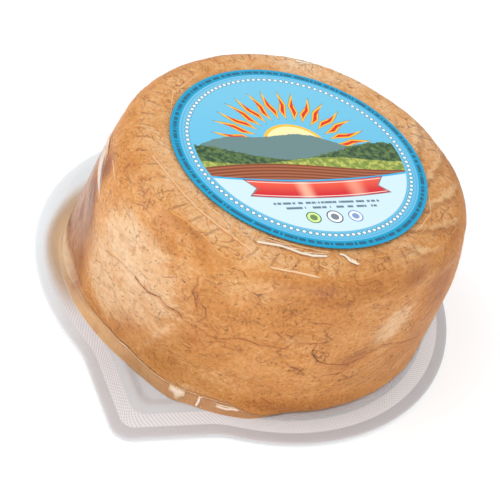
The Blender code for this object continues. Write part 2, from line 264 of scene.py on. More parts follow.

# The crease over the spread foot, which the film follows and under which the rind has a line
# of painted shade: a compass angle in degrees, a height in millimetres and how strong the
# film's painted highlight along it is from there on.
TOE_CREASE = (
    (-196, 4.0, 0.0), (-172, 14.0, 0.1), (-164, 9.7, 0.25), (-159, 7.0, 0.35), (-155, 5.7, 0.35),
    (-149, 5.4, 0.3), (-143, 5.0, 0.25), (-137, 4.9, 0.25), (-131, 5.6, 0.3), (-123, 6.9, 0.3),
    (-114, 8.6, 0.4), (-109, 8.4, 0.8), (-105, 8.8, 0.6), (-97, 7.0, 0.5), (-91, 6.3, 0.25),
    (-84, 6.8, 0.3), (-77, 7.0, 0.3), (-72, 7.0, 0.2), (-65, 4.8, 0.1), (-58, 3.5, 0.0),
    (-50, 2.2, 0.0),
)

# Painted glints: patches of white haze where the film bridges the toe. Half width in
# millimetres and strength, then places of a compass angle in degrees and a height in millimetres.
TOE_GLINTS = (
    (1.30, 0.9, ((-88.4, 5.3), (-86.4, 4.9), (-84.8, 5.5))),
    (0.95, 0.75, ((-86.4, 4.6), (-86.0, 3.0))),
    (0.50, 1.0, ((-80.2, 6.6), (-79.9, 4.9), (-80.2, 3.2))),
    (0.45, 0.9, ((-74.6, 5.3), (-71.8, 5.0), (-70.0, 5.6), (-68.8, 5.4))),
)

# The film's upright folds at the left, each a bump and a painted highlight line: the same.
TENT_FOLDS = (
    (0.44, 0.55, ((-160, 53.0), (-154, 57.0), (-148, 57.4))),
    (0.26, 0.55, ((-152, 55.4), (-148, 55.8), (-145, 55.5), (-143.4, 54.2), (-141.8, 53.0),
                  (-139.8, 52.2), (-137, 49.5))),
    (0.30, 0.45, ((-160, 32.7), (-154, 34.0), (-149, 34.6), (-146, 32.4))),
    (0.30, 0.40, ((-159, 22.0), (-162, 15.0), (-164, 9.7))),
    (0.26, 0.30, ((-153, 23.6), (-147, 21.2), (-143, 12.0))),
    (0.30, 0.35, ((-141, 61.8), (-136, 61.6), (-133, 61.0))),
)

# Label: how far its print is turned about the upright axis, in degrees.
LABEL_TURN = 46

# On the label, in shares of its radius.
SUN_HEIGHT = 0.06
SUN_RAYS = 32
PICTURE_EDGE = 0.835
BEAD_RING = 0.872
BEAD_PITCH = 0.0477
BEADS = 116

# Camera, as the photograph sees the pack.
CAMERA_AZIMUTH = radians(11.7)
CAMERA_ELEVATION = radians(40.7)
CAMERA_ROLL = radians(21.18)
CAMERA_TARGET = Vector((-0.00511, 0.01447, 0.0012))
CAMERA_DISTANCE = 0.5699
CAMERA_LENS = 95.04

# Light: each lamp's name, place, target and watts.
LAMPS = (
    ("key", (-0.8, -0.35, 0.75), (0, 0, 0.03), 5.4),
    ("fill", (0.9, -0.7, 0.8), (0, 0, 0.0), 4.3),
)
LAMP_SIZE = 1.0
ROOM_COLOUR = (0.97, 0.985, 1, 1)
ROOM_LIGHT = 0.88
FLOOR_GLOW = 0.17


# ---- small maths


def smooth(value):
    """An S-shaped step from 0 to 1."""
    value = min(max(value, 0.0), 1.0)
    return value * value * (3 - 2 * value)


def blend(start, end, share):
    return start + (end - start) * share


def along(stations, value):
    """Read a value off a few stations, each a place and its value, in rising order."""
    for (place, here), (next_place, there) in zip(stations, stations[1:]):
        if value <= next_place:
            return blend(here, there, max(0.0, (value - place) / (next_place - place)))
    return stations[-1][1]


def angle_between(angle, other):
    return abs((angle - other + pi) % (2 * pi) - pi)


def hill(angle, middle, half_width):
    """A round hill of height 1 over a stretch of the compass, in degrees."""
    away = angle_between(angle, radians(middle)) / radians(half_width)
    return cos(away * pi / 2) ** 2 if away < 1 else 0.0


def from_axis(angle, reach, height, centre=WHEEL_CENTRE):
    return Vector((
        centre[0] + reach * cos(angle),
        centre[1] + reach * sin(angle),
        height,
    ))


def unroll(lines):
    """Lines on the wall, with their compass angles as millimetres round it."""
    return [
        (half_width, strength, [(radians(angle) * UNROLLED, up) for angle, up in places])
        for half_width, strength, places in lines
    ]


def nearest_line(x, y, lines, reach):
    """Signed distance to the nearest line, with that line's half width and strength.

    The strength dies away beside the line, so that a change of side never shows.
    """
    nearest = (reach, 1.0, 0.0)
    for half_width, strength, places in lines:
        for (ax, ay), (bx, by) in zip(places, places[1:]):
            if not (min(ax, bx) - reach < x < max(ax, bx) + reach):
                continue
            if not (min(ay, by) - reach < y < max(ay, by) + reach):
                continue
            run_x, run_y = bx - ax, by - ay
            length = hypot(run_x, run_y)
            forward = ((x - ax) * run_x + (y - ay) * run_y) / length
            aside = ((x - ax) * run_y - (y - ay) * run_x) / length
            beyond = max(-forward, forward - length, 0.0)
            away = hypot(beyond, aside)
            if away < abs(nearest[0]):
                taper = smooth(1 - beyond / (reach / 2)) * smooth(2.5 * (1 - away / reach))
                side = copysign(max(away, 1e-9), aside)
                nearest = (side, half_width, strength * taper)
    return nearest


# ---- form of the tray


def tray_reach(angle, inset):
    """How far the tray's outline, drawn in by an inset, lies from the centre at an angle."""
    turn = angle_between(angle, CORNER_DIRECTION)
    square = pi / 2 - CORNER_HALF_ANGLE
    side = (CORNER_REACH - CORNER_ROUND) * sin(CORNER_HALF_ANGLE) + CORNER_ROUND
    fillet_centre = TRAY_RADIUS + CORNER_FILLET
    fillet_turn = square - acos((side + CORNER_FILLET) / fillet_centre)
    if turn >= fillet_turn:
        return TRAY_RADIUS - inset
    fillet = CORNER_FILLET + inset
    line_end = (
        fillet_centre * cos(fillet_turn) - fillet * cos(square),
        fillet_centre * sin(fillet_turn) - fillet * sin(square),
    )
    if turn >= atan2(line_end[1], line_end[0]):
        reach = fillet_centre * cos(turn - fillet_turn)
        return reach - sqrt(reach**2 - fillet_centre**2 + fillet**2)
    tip = max(CORNER_ROUND - inset, CORNER_TIGHTEST)
    tip_centre = (side - inset - tip) / sin(CORNER_HALF_ANGLE)
    tip_end = atan2(tip * sin(square), tip_centre + tip * cos(square))
    if turn >= tip_end:
        return (side - inset) / cos(turn - square)
    across = tip_centre * sin(turn)
    return tip_centre * cos(turn) + sqrt(tip**2 - across**2)


def tray_height_at_inset(inset):
    """Height of the tray's upper face a distance in from its edge."""
    margin = RIM_TOP - MARGIN_DROP * (1 - min(inset / MARGIN_WIDTH, 1.0)) ** 1.3
    step = smooth((inset - RIM_WIDTH) / STEP_WIDTH)
    return margin - (RIM_TOP - FLOOR_TOP) * step


def tray_inset(x, y):
    """How far in from the tray's edge a point of the floor plan lies, measured radially."""
    angle = atan2(y, x)
    reach = hypot(x, y)
    insets = (0.0, MARGIN_WIDTH, RIM_WIDTH, RIM_WIDTH + STEP_WIDTH)
    reaches = [tray_reach(angle, inset) for inset in insets]
    for index in range(len(insets) - 1):
        if reach >= reaches[index + 1]:
            share = (reaches[index] - reach) / (reaches[index] - reaches[index + 1])
            return blend(insets[index], insets[index + 1], share)
    return insets[-1] + reaches[-1] - reach


def tray_height(x, y):
    return tray_height_at_inset(max(0.0, tray_inset(x, y)))


def even_angles(count, inset):
    """Directions that share out the tray's outline, drawn in by an inset, in equal steps."""
    fine = 7200
    angles = [CORNER_DIRECTION + 2 * pi * step / fine for step in range(fine + 1)]
    points = [from_axis(angle, tray_reach(angle, inset), 0.0, (0, 0)) for angle in angles]
    travelled = [0.0]
    for before, after in zip(points, points[1:]):
        travelled.append(travelled[-1] + (after - before).length)
    chosen = []
    index = 0
    for step in range(count):
        wanted = travelled[-1] * step / count
        while travelled[index + 1] < wanted:
            index += 1
        share = (wanted - travelled[index]) / (travelled[index + 1] - travelled[index])
        chosen.append(blend(angles[index], angles[index + 1], share))
    return chosen


# ---- form of the wheel

FOOT_LENGTH = FOOT_ROUND * pi / 2
WALL_LENGTH = SHOULDER_START - WHEEL_BOTTOM - FOOT_ROUND
SHOULDER_LENGTH = 0.0205
TOP_LENGTH = FLAT_EDGE - LABEL_REST_RADIUS
SECTION_LENGTH = FOOT_LENGTH + WALL_LENGTH + SHOULDER_LENGTH + TOP_LENGTH

# How the foot changes where there is a toe, by the turn round the foot in degrees: how far
# it follows the wall outwards, its share of the toe's width, and how far it settles down.
TOE_FOLLOW = ((0, 0.0), (14, 1.0), (90, 1.0))
TOE_FLARE = (
    (0, 0.0), (14, 0.25), (24, 0.93), (30, 1.0), (38, 0.93), (56, 0.52), (72, 0.1), (77, 0.02),
    (90, 0.0),
)
TOE_SETTLE = ((0, 0.0), (14, 0.4), (30, 1.0), (40, 0.5), (52, 0.0), (90, 0.0))


def section(length, square=0.0):
    """Radius and height of the plain wheel's section, a length up from its foot."""
    if length < FOOT_LENGTH:
        turn = max(0.0, length) / FOOT_ROUND
        return (
            WHEEL_RADIUS - FOOT_ROUND * (1 - sin(turn)),
            WHEEL_BOTTOM + FOOT_ROUND * (1 - cos(turn)),
        )
    length -= FOOT_LENGTH
    if length < WALL_LENGTH:
        height = WHEEL_BOTTOM + FOOT_ROUND + length
        lean = max(0.0, (height - LEAN_START) / (SHOULDER_START - LEAN_START))
        return WHEEL_RADIUS - WALL_LEAN * lean**2, height
    length -= WALL_LENGTH
    edge = FLAT_EDGE + square
    if length < SHOULDER_LENGTH:
        turn = length / SHOULDER_LENGTH * pi / 2
        rise = (WHEEL_TOP - SHOULDER_START) * sin(turn)
        return edge + (SHOULDER_WIDTH - square) * cos(turn), SHOULDER_START + rise
    share = (length - SHOULDER_LENGTH) / TOP_LENGTH
    return edge + (LABEL_REST_RADIUS - edge) * share, WHEEL_TOP


def toe_width(angle):
    return sum(width * hill(angle, middle, half) for middle, half, width in TOE_LOBES)


def toe_presence(angle):
    away = angle_between(angle, TOE_MIDDLE)
    return smooth((TOE_HALF_SPAN - away) / TOE_RAMP)


def crease_height(angle):
    """Height of the crease over the toe."""
    stations = [(compass, height / 1000) for compass, height, _ in TOE_CREASE]
    turn = degrees(angle)
    return along(stations, turn if turn < 90 else turn - 360)


def skirt_reach(angle, height):
    """How far the lower wall leans out behind the toe."""
    fall = max(0.0, 1 - height / SKIRT_TOP)
    return SKIRT * fall * hill(angle, SKIRT_DIRECTION, SKIRT_HALF_WIDTH)


def unevenness(angle, height):
    """How much wider than a true circle the wheel is in one direction, as a ratio."""
    share = FOOT_OVAL_SHARE + (1 - FOOT_OVAL_SHARE) * min(height / LEAN_START, 1.0)
    oval = OVAL * cos(2 * (angle - OVAL_DIRECTION))
    lobes = LOBES * cos(3 * (angle - LOBE_DIRECTION))
    return 1 + share * (oval + lobes)


def wheel_outline(angle, length):
    """Reach from the wheel's axis and height of the plain rind in one direction."""
    square = FAR_EDGE * hill(angle, FAR_EDGE_DIRECTION, FAR_EDGE_HALF_WIDTH)
    radius, height = section(length, square)
    presence = toe_presence(angle)
    reach = radius
    settle = 0.0
    follow = 1.0
    if length < FOOT_LENGTH:
        turn = degrees(length / FOOT_ROUND)
        follow = along(TOE_FOLLOW, turn) * presence
        reach += (WHEEL_RADIUS - radius) * follow
        settle = along(TOE_SETTLE, turn) * presence
    reach = reach * unevenness(angle, height) + skirt_reach(angle, height) * follow
    if length < FOOT_LENGTH:
        reach += along(TOE_FLARE, turn) * toe_width(angle)
        x, y, _ = from_axis(angle, reach, 0.0)
        lowest = tray_height(x, y) + TOE_GAP
        height = max(height + settle * (lowest - height), lowest if turn > 7 else height)
    return reach, height


def wheel_point(angle, length, lift=0.0):
    """A point over the plain rind, lifted off it by a distance."""
    step = 0.0004
    reach, height = wheel_outline(angle, length)
    if not lift:
        return from_axis(angle, reach, height)
    low = wheel_outline(angle, length - step)
    high = wheel_outline(angle, length + step)
    run = dist(low, high) or 1.0
    reach += lift * (high[1] - low[1]) / run
    height += lift * (low[0] - high[0]) / run
    return from_axis(angle, reach, height)


# ---- modelling helpers


def start_piece(name):
    """Name the primitive just added and leave it alone in the selection."""
    piece = bpy.context.object
    bpy.ops.object.select_all(action="DESELECT")
    piece.select_set(True)
    bpy.context.view_layer.objects.active = piece
    piece.name = name
    piece.data.name = name
    return piece


def select(piece, kind, wanted):
    """Select those edges or faces of a piece in edit mode that are wanted."""
    cage = bmesh.from_edit_mesh(piece.data)
    bpy.ops.mesh.select_all(action="DESELECT")
    for part in getattr(cage, kind):
        if wanted(part):
            part.select_set(True)
    bmesh.update_edit_mesh(piece.data)


def upright(edge):
    return abs(edge.verts[0].co.z - edge.verts[1].co.z) > 1e-6


def drum(name, columns, bands, place):
    """Cut a cylinder into rows and move each point to its place by column and row."""
    rows = prod(bands)
    bpy.ops.object.select_all(action="DESELECT")
    bpy.ops.mesh.primitive_cylinder_add(
        vertices=columns, radius=1, depth=rows, end_fill_type="NGON", location=(0, 0, 0),
    )
    piece = start_piece(name)
    bpy.ops.object.mode_set(mode="EDIT")
    bpy.context.tool_settings.mesh_select_mode = (False, True, False)
    for cuts in bands:
        select(piece, "edges", upright)
        bpy.ops.mesh.subdivide(number_cuts=cuts - 1)
    bpy.ops.object.mode_set(mode="OBJECT")
    spots = []
    for vertex in piece.data.vertices:
        turn = atan2(vertex.co.y, vertex.co.x) / (2 * pi)
        column = round(turn * columns) % columns
        row = round(vertex.co.z + rows / 2)
        vertex.co = place(column, row)
        spots.append((column, row))
    return piece, spots


def mark(piece, points):
    """Keep named numbers for each point of a piece, for its finish to read."""
    for name in points[0]:
        layer = piece.data.attributes.new(name, "FLOAT", "POINT")
        layer.data.foreach_set("value", [point[name] for point in points])


def thicken(piece, thickness):
    """Give a sheet its thickness, on the side its faces look to."""
    solidify = piece.modifiers.new("sheet", "SOLIDIFY")
    solidify.thickness = thickness
    solidify.offset = 1
    bpy.context.view_layer.objects.active = piece
    bpy.ops.object.modifier_apply(modifier=solidify.name)


def finish_piece(piece, material, node, sharp=60):
    """Shade a piece, give it its material and put it on the pack."""
    bpy.ops.object.select_all(action="DESELECT")
    piece.select_set(True)
    bpy.context.view_layer.objects.active = piece
    bpy.ops.object.shade_smooth_by_angle(angle=radians(sharp))
    piece.data.materials.clear()
    piece.data.materials.append(material)
    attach(piece, "root")
    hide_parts(node)


# ---- shader helpers


class Field:
    """A number or a vector that varies over a surface. Maths on it adds nodes."""

    def __init__(self, finish, socket):
        self.finish = finish
        self.socket = socket

    def math(self, operation, *others):
        return self.finish.maths(operation, self, *others)

    def __add__(self, other):
        return self.math("ADD", other)

    def __sub__(self, other):
        return self.math("SUBTRACT", other)

    def __mul__(self, other):
        return self.math("MULTIPLY", other)

    def __truediv__(self, other):
        return self.math("DIVIDE", other)

    def __pow__(self, other):
        return self.math("POWER", other)

    def __rsub__(self, other):
        return self.finish.maths("SUBTRACT", other, self)

    def __abs__(self):
        return self.math("ABSOLUTE")

    __radd__ = __add__
    __rmul__ = __mul__

    def step(self, start, end):
        """A smooth step from 0 at start to 1 at end, which may be the lower of the two."""
        return self.finish.node(
            "ShaderNodeMapRange", {"interpolation_type": "SMOOTHSTEP", "clamp": True},
            {"Value": self, "From Min": start, "From Max": end},
        )

    def turn(self, start, end):
        """The same step for an angle, between two compass angles in degrees."""
        return self.step(radians(start), radians(end))


class Finish:
    """One material, with its nodes."""

    def __init__(self, name):
        self.material = bpy.data.materials.new(name)
        self.material.use_nodes = True
        self.tree = self.material.node_tree
        self.tree.nodes.clear()
        self.output = self.tree.nodes.new("ShaderNodeOutputMaterial")
        self.colour = None

    def node(self, kind, settings, inputs, outlet=0):
        """Add a node, set it up, fill its sockets and give the Field of one outlet."""
        node = self.tree.nodes.new(kind)
        for key, value in settings.items():
            if key == "stops":
                self.set_stops(node.color_ramp, value)
            else:
                setattr(node, key, value)
        for key, value in inputs.items():
            socket = node.inputs[key]
            if isinstance(value, Field):
                self.tree.links.new(value.socket, socket)
            else:
                socket.default_value = value
        return Field(self, node.outputs[outlet])

    @staticmethod
    def set_stops(ramp, stops):
        while len(ramp.elements) < len(stops):
            ramp.elements.new(1.0)
        for element, (place, colour) in zip(ramp.elements, stops):
            element.position = place
            element.color = paint(*colour)

    def maths(self, operation, *values):
        inputs = dict(enumerate(values))
        return self.node("ShaderNodeMath", {"operation": operation}, inputs)

    def place(self):
        """Where a point is on the resting pack."""
        return self.node("ShaderNodeTexCoord", {}, {}, "Object")

    def axes(self, vector):
        split = self.node("ShaderNodeSeparateXYZ", {}, {"Vector": vector})
        outlets = split.socket.node.outputs
        return [Field(self, outlets[axis]) for axis in range(3)]

    def vector(self, x, y, z):
        return self.node("ShaderNodeCombineXYZ", {}, {"X": x, "Y": y, "Z": z})

    def marked(self, name):
        """A number kept with the points of the piece."""
        return self.node("ShaderNodeAttribute", {"attribute_name": name}, {}, "Fac")

    def vectors(self, operation, vector, other, outlet=0):
        inputs = {0: vector, 1: other}
        return self.node("ShaderNodeVectorMath", {"operation": operation}, inputs, outlet)

    def dot(self, vector, direction):
        return self.vectors("DOT_PRODUCT", vector, direction, "Value")

    def stretch(self, vector, scale):
        return self.vectors("MULTIPLY", vector, scale)

    def sum(self, vector, offset):
        return self.vectors("ADD", vector, offset)

    def grain(self, vector, size, detail=3.0, rough=0.55, warp=0.0):
        """Cloudy noise from 0 to 1 whose clouds have a size in metres."""
        return self.node(
            "ShaderNodeTexNoise", {},
            {"Vector": vector, "Scale": 1 / size, "Detail": detail, "Roughness": rough,
             "Distortion": warp},
        )

    def cells(self, vector, size, feature="DISTANCE_TO_EDGE"):
        return self.node(
            "ShaderNodeTexVoronoi", {"feature": feature},
            {"Vector": vector, "Scale": 1 / size},
        )

    def mix(self, under, over, share):
        """One colour over another, each a Field or three numbers for paint."""
        under, over = (paint(*c) if isinstance(c, tuple) else c for c in (under, over))
        return self.node(
            "ShaderNodeMix", {"data_type": "RGBA", "clamp_factor": True},
            {0: share, 6: under, 7: over}, 2,
        )

    def coat(self, over, share):
        """Lay a colour over the surface's colour so far."""
        self.colour = self.mix(self.colour, over, share)

    def bump(self, height, distance, strength=1.0):
        return self.node(
            "ShaderNodeBump", {}, {"Height": height, "Distance": distance, "Strength": strength},
        )

    def solid(self, inputs):
        """An opaque or glazed surface from a Principled shader."""
        return self.node("ShaderNodeBsdfPrincipled", {}, inputs)

    def show(self, shader):
        self.tree.links.new(shader.socket, self.output.inputs["Surface"])
        return self.material


def paint(red, green, blue):
    """A colour as a screen shows it, from 0 to 255, as the shaders' linear light."""
    linear = []
    for value in (red, green, blue):
        value /= 255
        linear.append(value / 12.92 if value <= 0.04045 else ((value + 0.055) / 1.055) ** 2.4)
    return (*linear, 1.0)


def span(x, y):
    """Distance in a plane, from its two Fields."""
    return (x * x + y * y).math("SQRT")


def wheel_axes(finish, place):
    """Compass angle about the wheel's axis, reach from it and height."""
    x, y, z = finish.axes(place)
    x, y = x - WHEEL_CENTRE[0], y - WHEEL_CENTRE[1]
    return y.math("ARCTAN2", x), span(x, y), z


# ---- tray


def knurl(column, row):
    """Height of the seal band's fine diamond pattern."""
    quarter = 2 * pi / KNURL_SAMPLES
    return KNURL_HEIGHT * cos(column * quarter) * cos(row * quarter)


def make_tray():
    columns = KNURLS * KNURL_SAMPLES
    angles = even_angles(columns, MARGIN_WIDTH + SEAL_WIDTH / 2)
    under = [RIM_WIDTH + STEP_WIDTH, RIM_WIDTH + STEP_WIDTH / 2, RIM_WIDTH, MARGIN_WIDTH, 0.0006]
    over = [0.0002, 0.001, 0.0022, 0.0035, MARGIN_WIDTH - 0.0003]
    band = [
        MARGIN_WIDTH + SEAL_WIDTH * (row + 0.5) / KNURL_ROWS for row in range(KNURL_ROWS)
    ]
    inner = [MARGIN_WIDTH + SEAL_WIDTH + 0.0003, RIM_WIDTH - 0.001]
    inner += [
        RIM_WIDTH + STEP_WIDTH * share for share in (0.0, 0.2, 0.35, 0.5, 0.65, 0.8, 0.95, 1.1)
    ]
    rows = [(inset, -TRAY_SHEET) for inset in under] + [(0.0, -TRAY_SHEET / 2)]
    rows += [(inset, 0.0) for inset in over + band + inner]
    first_knurl = len(under) + 1 + len(over)
    knurled = range(first_knurl, first_knurl + KNURL_ROWS)

    def place(column, row):
        inset, sink = rows[row]
        height = tray_height_at_inset(inset) + sink
        if row in knurled:
            height += knurl(column, row - first_knurl)
        angle = angles[column]
        return from_axis(angle, tray_reach(angle, inset), max(height, 0.0), (0, 0))

    tray, spots = drum("tray_formed", columns, (len(rows) - 1,), place)
    mark(tray, [{
        "band": float(row in knurled),
        "hem": float(row < first_knurl),
        "knurl": (row in knurled) * knurl(column, row - first_knurl) / KNURL_HEIGHT,
    } for column, row in spots])
    finish_piece(tray, tray_finish(), "tray")


def tray_finish():
    finish = Finish("tray_white")
    place = finish.place()
    cloud = finish.grain(place, 0.03, 2)
    across = finish.dot(place, (1, 0, 0))
    # Painted light: the seal band and its hollows are lightened towards the right, where the
    # wheel's shade falls.
    painted_light_rightward = across.step(-0.03, 0.07)
    band = finish.marked("band")
    finish.colour = finish.mix((216, 218, 222), (207, 208, 212), cloud)
    # Painted shade: the margin and the underside greyer, all but at the far left.
    hem = finish.mix((216, 217, 220), (198, 194, 196), across.step(-0.055, -0.012))
    finish.coat(hem, finish.marked("hem"))
    finish.coat(finish.mix((234, 234, 238), (255, 255, 255), painted_light_rightward), band)
    # Painted shade in the hollows of the knurls.
    pit_painted_shade = finish.marked("knurl").step(0.35, -0.5)
    finish.coat(finish.mix((210, 202, 207), (228, 220, 223), painted_light_rightward), pit_painted_shade * band)
    # Painted light: the tray whiter towards the left and back.
    painted_light_left_back = finish.dot(place, (-0.8, 0.6, 0)).step(-0.03, 0.06)
    finish.coat((240, 248, 253), painted_light_left_back * 0.9)
    fine = finish.grain(place, 0.0012, 2)
    return finish.show(finish.solid({
        "Base Color": finish.colour,
        "Roughness": cloud * 0.12 + 0.32,
        "Specular IOR Level": 0.45,
        "Subsurface Weight": 0.2,
        "Subsurface Radius": (0.004, 0.004, 0.004),
        "Subsurface Scale": 1.0,
        "Normal": finish.bump(fine, 0.00003),
    }))


# ---- cheese


def plait_phase(angle, reach):
    """Phase of the plait's lines, which slant on their way in over the shoulder."""
    return PLAIT_LINES * (angle - PLAIT_START - PLAIT_SLANT * (PLAIT_OUTER - reach))


def rind_relief(angle, length, point):
    """Height of the rind's lumps and of the lines pressed into it."""
    ends = smooth(length / FOOT_LENGTH) * smooth((SECTION_LENGTH - length) / 0.002)
    calm = 1 - toe_presence(angle) * smooth((FOOT_LENGTH - length) / 0.004)
    lumps = sum(height * noise.noise(point / size) for size, height in LUMPS)
    grit = GRIT[1] * noise.noise(point / GRIT[0])
    outer, outer_full, inner, inner_full = PLAIT_RING
    marked = smooth((length - outer) / (outer_full - outer))
    marked *= smooth((inner - length) / (inner - inner_full))
    reach = hypot(point.x - WHEEL_CENTRE[0], point.y - WHEEL_CENTRE[1])
    line = (0.5 + 0.5 * cos(plait_phase(angle, reach))) ** 24
    worn = 0.35 + 0.65 * smooth(0.5 + 0.9 * noise.noise(point / 0.016 + Vector((7, 3, 1))))
    groove = PLAIT_DEPTH * marked * line * worn
    height = (lumps + grit) * calm - groove
    return min(height, RELIEF_LIMIT) * ends


def tone_amounts(angle, length):
    """How much of each kind of coloured field lies on a place of the rind."""
    amounts = dict.fromkeys(TONES, 0.0)
    for kind, fields in TONES.items():
        for compass, middle, half_length, half_width, slant, strength in fields:
            turn = (angle - radians(compass) + pi) % (2 * pi) - pi
            across, up = turn * UNROLLED, length * 1000 - middle
            if max(abs(across), abs(up)) > half_length + half_width:
                continue
            slant = radians(slant)
            forward = (across * cos(slant) + up * sin(slant)) / half_length
            aside = (up * cos(slant) - across * sin(slant)) / half_width
            amounts[kind] += strength * smooth(1.15 - hypot(forward, aside))
    return amounts


def make_cheese():
    rows = prod(WHEEL_BANDS)
    cracks, ledges = unroll(CRACKS), unroll(LEDGES)

    def spot(column, row):
        angle = 2 * pi * column / WHEEL_COLUMNS
        return (angle + pi) % (2 * pi) - pi, SECTION_LENGTH * row / rows

    def place(column, row):
        angle, length = spot(column, row)
        plain = wheel_point(angle, length)
        return wheel_point(angle, length, rind_relief(angle, length, plain))

    def marks(column, row):
        angle, length = spot(column, row)
        across, up = angle * UNROLLED, length * 1000
        crack_offset, crack_width, crack_depth = nearest_line(across, up, cracks, CRACK_REACH)
        from_ledge, ledge_width, ledge_depth = nearest_line(across, up, ledges, LEDGE_REACH)
        presence = toe_presence(angle)
        over = wheel_outline(angle, length)[1] - crease_height(angle)
        # Painted shade: a darker line on the rind just under the crease over the toe.
        line = smooth(1 - abs(over + 0.0004) / 0.0011) * smooth((degrees(angle) + 145) / 20)
        return {
            "climb": length, "toe": presence * smooth(-over / 0.0008), "toe_line": presence * line,
            "crack_offset": crack_offset, "crack_width": crack_width, "crack_depth": crack_depth,
            "ledge": from_ledge / ledge_width, "ledge_depth": ledge_depth,
            **tone_amounts(angle, length),
        }

    cheese, spots = drum("cheese_wheel", WHEEL_COLUMNS, WHEEL_BANDS, place)
    mark(cheese, [marks(column, row) for column, row in spots])
    finish_piece(cheese, rind_finish(), "cheese")


def rind_finish():
    finish = Finish("smoked_rind")
    mix, coat, grain, marked, vector = (
        finish.mix, finish.coat, finish.grain, finish.marked, finish.vector,
    )
    place = finish.place()
    angle, reach, _ = wheel_axes(finish, place)
    climb = marked("climb")
    drawn = finish.stretch(place, (1, 1, 1.6))

    wide = grain(place, 0.040, 2, 0.5)
    cloud = grain(drawn, 0.014, 5, 0.6, 0.4)
    blotch = grain(drawn, 0.0050, 5, 0.68, 0.5)
    fleck = grain(place, 0.0013, 3, 0.72)
    wander = grain(place, 0.0055, 4, 0.6) - 0.5
    frayed = grain(place, 0.0011, 3, 0.6) - 0.5

    # How light the rind is, from brown at 0 to cream at 1.
    light = 0.5 + (wide - 0.5) * 0.6 + (cloud - 0.5) * 0.40 + (blotch - 0.5) * 0.30
    light = light + (fleck - 0.5) * 0.66
    uneven = 0.7 + 0.5 * (blotch * 0.6 + cloud * 0.4).step(0.36, 0.62)
    ragged = (blotch - 0.5) * 1.1 + (cloud - 0.5) * 0.9 + wander * 0.5
    # Pale fields lighten the rind and deep ones darken it: its own tone, and in places painted
    # sheen and painted shade, as given with the fields.
    pale = marked("pale")
    pale = pale * uneven * 0.65 + (pale + ragged).step(0.34, 0.80) * 0.42
    deep = marked("deep")
    deep = deep * uneven * 0.6 + (deep + ragged).step(0.42, 0.78) * 0.4
    light = light + pale * 0.19 - deep * 0.16
    light = light + climb.step(0.072, 0.081) * 0.17
    finish.colour = finish.node("ShaderNodeValToRGB", {"stops": (
        (0.00, (114, 58, 25)), (0.22, (164, 96, 42)), (0.40, (197, 129, 61)),
        (0.54, (212, 146, 78)), (0.68, (223, 167, 108)), (0.84, (230, 188, 142)),
        (1.00, (238, 206, 172)),
    )}, {"Fac": light})
    coat((235, 200, 162), (pale * 0.44).math("MINIMUM", 0.7))
    flush = grain(drawn, 0.0030, 4, 0.66).step(0.50, 0.66)
    coat((194, 104, 40), flush * 0.34)

    # Fine streaks drawn up the rind at the right, and painted shade that darkens the right side
    # of the wall.
    across = angle * WHEEL_RADIUS
    along_streak, over_streak = across * 0.93 + climb * 0.36, climb * 0.93 - across * 0.36
    streaks = grain(vector(along_streak * 0.1, over_streak, 0.0), 0.0014, 3, 0.6)
    streaked = angle.turn(-52, -32) * angle.turn(14, -10)
    streaked = streaked * climb.step(0.010, 0.022) * climb.step(0.076, 0.066)
    coat((146, 90, 52), streaks.step(0.52, 0.72) * streaked * 0.4)
    coat((240, 204, 160), streaks.step(0.48, 0.30) * streaked * 0.24)
    # Painted shade: the right side of the wall darker, away from the key lamp.
    coat((160, 110, 70), angle.turn(-64, -30) * angle.turn(80, 45) * 0.13)

    ruddy = marked("ruddy")
    stained = (cloud * 0.5 + fleck * 0.3 + blotch * 0.2 + ruddy * 0.1).step(0.44, 0.62)
    coat((150, 86, 52), ruddy * (0.3 + 0.5 * stained))

    # Lines of the plait, in a ring between the label and the shoulder: painted shade along the
    # grooves the plait pressed there.
    ring = climb.step(*PLAIT_RING[:2]) * climb.step(*PLAIT_RING[2:])
    phase = (plait_phase(angle, reach) + wander * 2.4).math("COSINE")
    plait = phase.step(0.86, 1.0) * ring * cloud.step(0.38, 0.54)
    coat((146, 88, 42), plait * 0.45)

    # Broad ribs that run over the ring more slantwise at the right, each drawn with painted shade
    # on one side and a painted highlight on the other, with a bump.
    sweep = 20 * (angle - 24 * (reach - 0.060)) + wander * 4
    ribbed = climb.step(0.073, 0.077) * angle.step(-0.5, -0.2) * angle.step(1.4, 1.0)
    rib_painted_shade = sweep.math("COSINE").step(0.4, 1.0) * ribbed
    rib_painted_highlight = (sweep - 1.3).math("COSINE").step(0.4, 1.0) * ribbed
    coat((150, 92, 50), rib_painted_shade * 0.4)
    coat((240, 204, 156), rib_painted_highlight * 0.35)

    # Ledges: a painted highlight along the edge above, painted shade below.
    ledge = marked("ledge") + wander * 1.6 + frayed * 0.4
    ledge_depth = marked("ledge_depth")
    edge = abs(ledge + 0.4).step(0.5, 0.1) * ledge_depth
    shade = abs(ledge - 1.1).step(1.6, 0.2) * ledge_depth * (0.3 + stained)
    coat((160, 88, 40), shade * 0.4)
    coat((244, 172, 96), edge * 0.6)

    # A web of hair cracks, broken into short runs.
    bend = vector(wander * 0.006, frayed * 0.0012, wander * 0.009)
    web = finish.cells(finish.sum(finish.stretch(place, (1, 1, 1.7)), bend), 0.013)
    run = grain(place, 0.012, 2, 0.5).step(0.5, 0.64)
    hair = web.step(0.014, 0.002) * run * climb.step(0.014, 0.018)
    coat((140, 76, 34), hair * 0.5)

